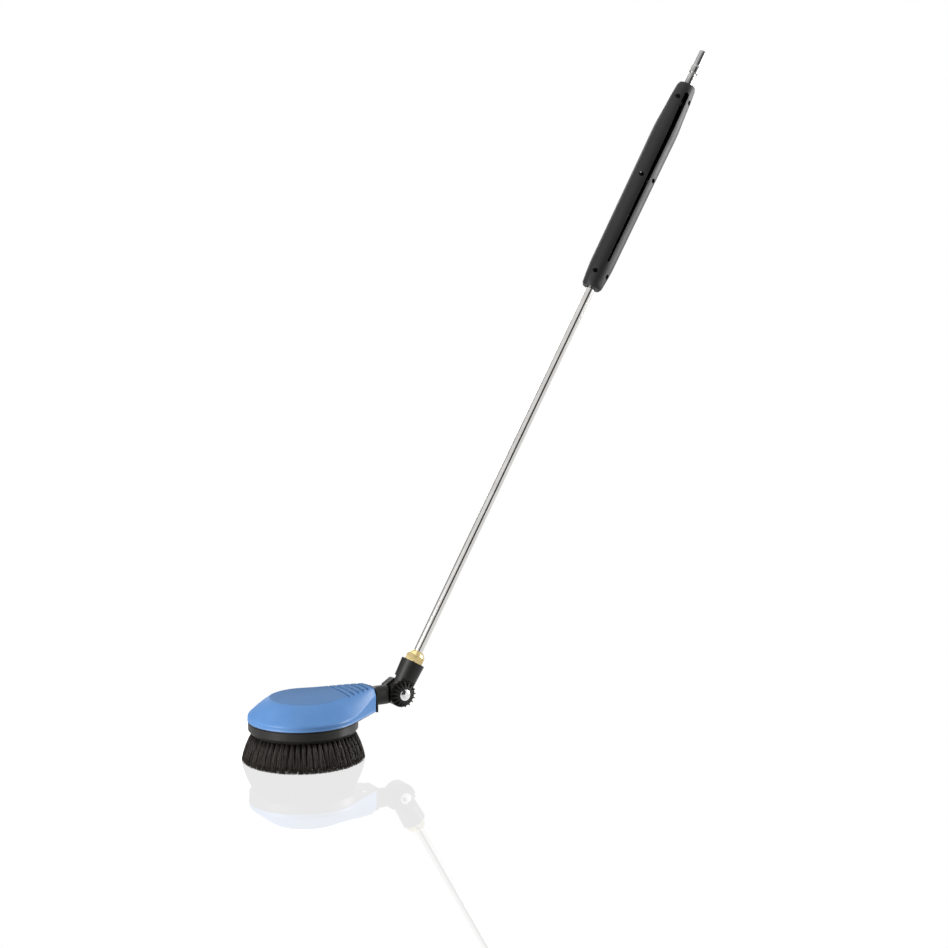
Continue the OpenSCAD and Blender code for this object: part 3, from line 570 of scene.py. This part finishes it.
tubeSize = {
    "outer": 6.75, "inner": 4.5, "edge": 0.4,
    "shadeInGrip": {"radius": 14.0, "inset": 6.0, "length": 4.0, "tone": (0.02, 0.02, 0.02), "dull": 0.4},
}
plugSize = {
    "bore": 3.0, "reach": 14.0, "insert": 4.48, "stem": 6.8, "stemEnd": 19.5, "neck": 5.6, "neckFrom": 20.5,
    "neckTo": 23.5, "collar": 7.4, "collarFrom": 25.0, "collarTo": 35.5, "nose": 6.0, "noseFrom": 38.0,
    "noseTo": 63.0, "tip": 5.2, "end": 64.5, "mouth": 0.3, "mouthDrop": 0.4,
    "rounds": (0.2, 0.2, 0.2, 0.3, 0.6, 0.6, 0.6, 0.7, 0.9, 0.9, 0.8, 0.4, 0.2, 0.2),
}


# Distance along the lance of both ends of a round node, whose lowest and highest points are on its end discs:
# (z +- radius |across.z| - pivot.z) / direction.z
def lanceRange(node, radius):
    low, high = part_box(node)
    rise = radius * abs(lanceAcross[2])
    return [(z / mm + sign * rise - pivot[2] / mm) / lanceDir[2] for z, sign in ((low.z, 1), (high.z, -1))]


# The tube: a rectangle with rounded corners, from inner to outer radius and from end to end, turned round the
# lance
def lanceTube():
    size = tubeSize
    start, end = lanceRange("lance_tube", size["outer"])
    corners = [(size["inner"], start), (size["outer"], start), (size["outer"], end), (size["inner"], end)]
    outline = filleted(corners, [size["edge"]] * 4) * mm
    return turned("lanceTube", lanceAxes, outline, "lance", ["lance_tube"])


# The plug: stem, waist groove, collar with sloped shoulders and a straight nose, all one outline of (radius,
# height above the tube's end) turned round the lance
def inletPlug():
    p = plugSize
    tubeTop = lanceRange("lance_tube", tubeSize["outer"])[1]
    corners = [(p["bore"], -p["reach"]), (p["insert"], -p["reach"]), (p["insert"], 0), (p["stem"], 0),
               (p["stem"], p["stemEnd"]), (p["neck"], p["neckFrom"]), (p["neck"], p["neckTo"]),
               (p["collar"], p["collarFrom"]), (p["collar"], p["collarTo"]), (p["nose"], p["noseFrom"]),
               (p["nose"], p["noseTo"]), (p["tip"], p["end"]), (p["bore"] + p["mouth"], p["end"]),
               (p["bore"], p["end"] - p["mouthDrop"])]
    outline = (filleted(corners, p["rounds"], 4) + np.array([0, tubeTop])) * mm
    return turned("inletPlug", lanceAxes, outline, "lance", ["plug_nipple"], smooth=50)


# The length of tube inside the grip is dull, and its colour is darkened with painted shade: its tone and gloss
# change where it enters
def shadedInGrip(finish):
    look = tubeSize["shadeInGrip"]
    gripStart = lanceRange("handle_front_shell", look["radius"])[0]
    start = (gripStart + look["inset"]) * mm + float(pivot @ lanceDir)
    along = finish.node("ShaderNodeVectorMath", {"operation": "DOT_PRODUCT"},
                        {0: finish.place(), 1: tuple(lanceDir)}, out="Value")
    inside = finish.band(along, start, start + look["length"] * mm)
    # Painted shade: inside the grip the tube's colour is mixed to near black
    finish.feed(Base_Color=finish.mix(inside, finish.fed("Base Color"), look["tone"]),
                Roughness=finish.fed("Roughness") + inside * look["dull"])


tubePiece, plugPiece = lanceTube(), inletPlug()
shadedInGrip(tubeSteel)
painted(tubeSteel, tubePiece)
painted(plugSteel, plugPiece)
print("lance made")


knob = {
    "teeth": 17, "root": 12.2, "tip": 19.1, "baseHalf": 1.75, "midHalf": 1.05, "mid": 15.5, "tipHalf": 0.5,
    "topHalf": 0.25, "tipRound": 0.5, "valley": 0.6, "hub": 10.6, "seat": 8.4, "bore": 4.3, "slope": 0.24,
    "seatHeight": 3.0, "backRim": 11.0, "frontRim": 11.4, "edge": 0.3, "faceEdge": 0.35, "hubOuter": 0.6,
    "hubInner": 1.1, "hubDrop": 0.1, "seatEdge": 0.4,
}


# Star knob: teeth as straight fins that narrow to the tip, and a front face that falls away as a cone from
# the hub: height = front - edge - slope (r - hub)
def starKnob():
    k = knob
    low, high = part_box("star_knob")
    back, front = -high.y / mm, -low.y / mm
    rising = np.array([k["baseHalf"], k["midHalf"], k["tipHalf"], k["topHalf"]])
    across = np.concatenate([-rising, rising[::-1]])
    climb = np.array([k["root"], k["mid"], k["tip"] - k["tipRound"], k["tip"]])
    reach = np.concatenate([climb, climb[::-1]])
    half = math.pi / k["teeth"]
    turnTo = np.append(np.arctan2(across, reach), half)
    radius = np.append(np.hypot(across, reach), k["root"] - k["valley"])
    turnTo = (turnTo[None] + 2 * half * np.arange(k["teeth"])[:, None]).ravel()
    radius = np.tile(radius, k["teeth"])

    def face(r):
        return front - k["faceEdge"] - k["slope"] * np.maximum(r - k["hub"], 0)

    edge, seatFloor = k["edge"], back + k["seatHeight"]
    rows = [(k["bore"], back), (k["backRim"], back), (radius - edge, back), (radius, back + edge),
            (radius, face(radius) - k["faceEdge"]), (radius - edge, face(radius)),
            (np.minimum(radius, k["frontRim"]), face(k["frontRim"])),
            (k["hub"] - k["hubOuter"], front - k["hubDrop"]), (k["hub"] - k["hubInner"], front),
            (k["seat"] + k["seatEdge"], front), (k["seat"], front - k["seatEdge"]),
            (k["seat"], seatFloor), (k["bore"], seatFloor)]
    cosine, sine = np.cos(turnTo) * mm, np.sin(turnTo) * mm
    points = np.array([placed(knobAxes, r * cosine, r * sine, height * mm) for r, height in rows])
    quads = gridQuads(len(rows), len(turnTo), True, True)
    return meshPiece("starKnob", points, quads, "knob", ["star_knob"], 30)


knobPiece = starKnob()
painted(blackPlastic, knobPiece)
print("knob made")


roundedParts = {
    "brushRing": ("brush_plate", "brush", "black_plastic", 0.9),
    "baseRim": ("housing_base", "head", "black_plastic", 0.35),
    "neckArm": ("neck", "head", "black_plastic", 1.0),
    "lanceArm": ("knuckle_arm", "lance", "black_plastic", 1.0),
    "brassNut": ("lance_nut", "lance", "brass", 0.4),
    "gripFront": ("handle_front_shell", "lance", "grip_plastic", 0.6),
    "gripRear": ("handle_rear_shell", "lance", "grip_plastic", 0.6),
}
finishOf = {
    "black_plastic": blackPlastic, "grip_plastic": gripPlastic, "inner_plastic": innerPlastic,
    "seal_rubber": sealRubber, "brass": brass, "steel": steel, "chrome": chrome, "plug_steel": plugSteel,
    "cover_plastic": coverPlastic, "bristles": hair,
}
for name, (node, body, slotName, width) in roundedParts.items():
    painted(finishOf[slotName], roundedNode(name, node, body, width * mm))
for part in frame["record"]["subparts"]:
    if not frame["nodes"][part["node"]].hide_render:
        painted(finishOf[part["material_slot"]], part["node"])
painted(darkScrew, "handle_screws")
print("nodes painted")


studio = {
    "floorHalf": 40.0, "shine": 0.2, "zoneMiddle": (-0.02, -0.34), "zoneHalf": (0.29, 0.56),
    "zoneEdge": (0.9, 1.5), "target": (0.3, 0.0, 0.45),
    "camera": {
        "at": (-1.0620, -2.3528, 0.7364), "look": (0.49343, 0.86102, -0.12319), "lens": 68.77,
        "sensor": 36.0, "near": 0.05, "far": 200.0,
    },
    "lights": {
        "left": {"at": (-2.4, -0.4, 0.8), "size": 1.3, "power": 76.0},
        "front": {"at": (-0.6, -3.4, 1.3), "size": 1.6, "power": 8.0},
        "right": {"at": (2.6, -0.7, 0.8), "size": 1.2, "power": 86.0},
        "top": {"at": (0.1, 0.2, 3.0), "size": 2.4, "power": 14.0},
        "back": {"at": (0.6, 2.8, 1.4), "size": 1.8, "power": 24.0},
    },
    "cards": {
        "frontCard": {"middle": (0.15, -2.45, 1.05), "width": 2.0, "length": 4.2, "lean": True},
        "backCard": {"middle": (-0.75, 2.5, 1.2), "width": 1.9, "length": 2.4, "lean": False},
    },
}


# A flat rectangle: middle +- half the width along one direction +- half the length along another
def flatSheet(name, middle, wide, long):
    middle, wide, long = np.array(middle, float), np.array(wide, float), np.array(long, float)
    signs = np.array([[-1, -1], [1, -1], [1, 1], [-1, 1]], float)
    corners = middle + signs[:, :1] * wide + signs[:, 1:] * long
    mesh = bpy.data.meshes.new(name)
    mesh.from_pydata(corners.tolist(), [], [(0, 1, 2, 3)])
    sheet = bpy.data.objects.new(name, mesh)
    bpy.context.scene.collection.objects.link(sheet)
    return sheet


# A floor that glows evenly, with a faint mirror in an oval round the foot of the object, where
# ((x - middleX) / halfX)^2 + ((y - middleY) / halfY)^2 is below one
def studioFloor():
    half = studio["floorHalf"]
    floor = flatSheet("floor", (0, 0, 0), (half, 0, 0), (0, half, 0))
    floor.visible_diffuse = False
    paint = Finish("paleFloor")
    glow = paint.node("ShaderNodeEmission", {}, {"Color": (1, 1, 1, 1), "Strength": 1.0})
    gloss = paint.node("ShaderNodeBsdfAnisotropic", {}, {"Color": (1, 1, 1, 1), "Roughness": 0.02})
    x, y = paint.split(2)
    (middleX, middleY), (halfX, halfY) = studio["zoneMiddle"], studio["zoneHalf"]
    away = (x - middleX) ** 2.0 * (1 / halfX ** 2) + (y - middleY) ** 2.0 * (1 / halfY ** 2)
    share = paint.band(away, *studio["zoneEdge"], studio["shine"], 0.0)
    mixed = paint.node("ShaderNodeMixShader", {}, {0: share, 1: glow, 2: gloss})
    paint.tree.links.new(mixed.socket, paint.tree.nodes["Material Output"].inputs["Surface"])
    floor.data.materials.append(paint.material)


# Dark cards that only reflections see: they draw the stripes down the polished tube
def studioCards():
    paint = Finish("cardBlack", Base_Color=(0.02, 0.02, 0.02, 1), Roughness=0.9)
    upright = (np.array([1.0, 0, 0]), np.array([0, 0, 1.0]))
    for name, card in studio["cards"].items():
        wide, long = (lanceAcross, lanceDir) if card["lean"] else upright
        sheet = flatSheet(name, card["middle"], wide * card["width"] / 2, long * card["length"] / 2)
        sheet.visible_camera = sheet.visible_diffuse = sheet.visible_shadow = False
        sheet.data.materials.append(paint.material)


# An even white world that lights only reflections, and five round lamps that face the middle of the object
def studioLights():
    world = bpy.data.worlds.new("studio")
    bpy.context.scene.world = world
    world.use_nodes = True
    background = world.node_tree.nodes["Background"]
    background.inputs["Color"].default_value = (1, 1, 1, 1)
    background.inputs["Strength"].default_value = 1.0
    world.cycles_visibility.diffuse = False
    for name, light in studio["lights"].items():
        data = bpy.data.lights.new(name, "AREA")
        data.shape, data.size, data.energy = "DISK", light["size"], light["power"]
        lamp = bpy.data.objects.new(name, data)
        lamp.location = light["at"]
        lamp.visible_camera = False
        aim = Vector(studio["target"]) - Vector(light["at"])
        lamp.rotation_euler = aim.to_track_quat("-Z", "Y").to_euler()
        bpy.context.scene.collection.objects.link(lamp)


def studioCamera():
    view = studio["camera"]
    data = bpy.data.cameras.new("camera")
    data.sensor_width, data.lens = view["sensor"], view["lens"]
    data.clip_start, data.clip_end = view["near"], view["far"]
    camera = bpy.data.objects.new("camera", data)
    camera.location = view["at"]
    camera.rotation_euler = Vector(view["look"]).to_track_quat("-Z", "Y").to_euler()
    bpy.context.scene.collection.objects.link(camera)
    bpy.context.scene.camera = camera


studioFloor()
studioCards()
studioLights()
studioCamera()
bpy.context.scene.view_settings.view_transform = "Standard"
bpy.context.scene.view_settings.look = "None"
print("studio made")
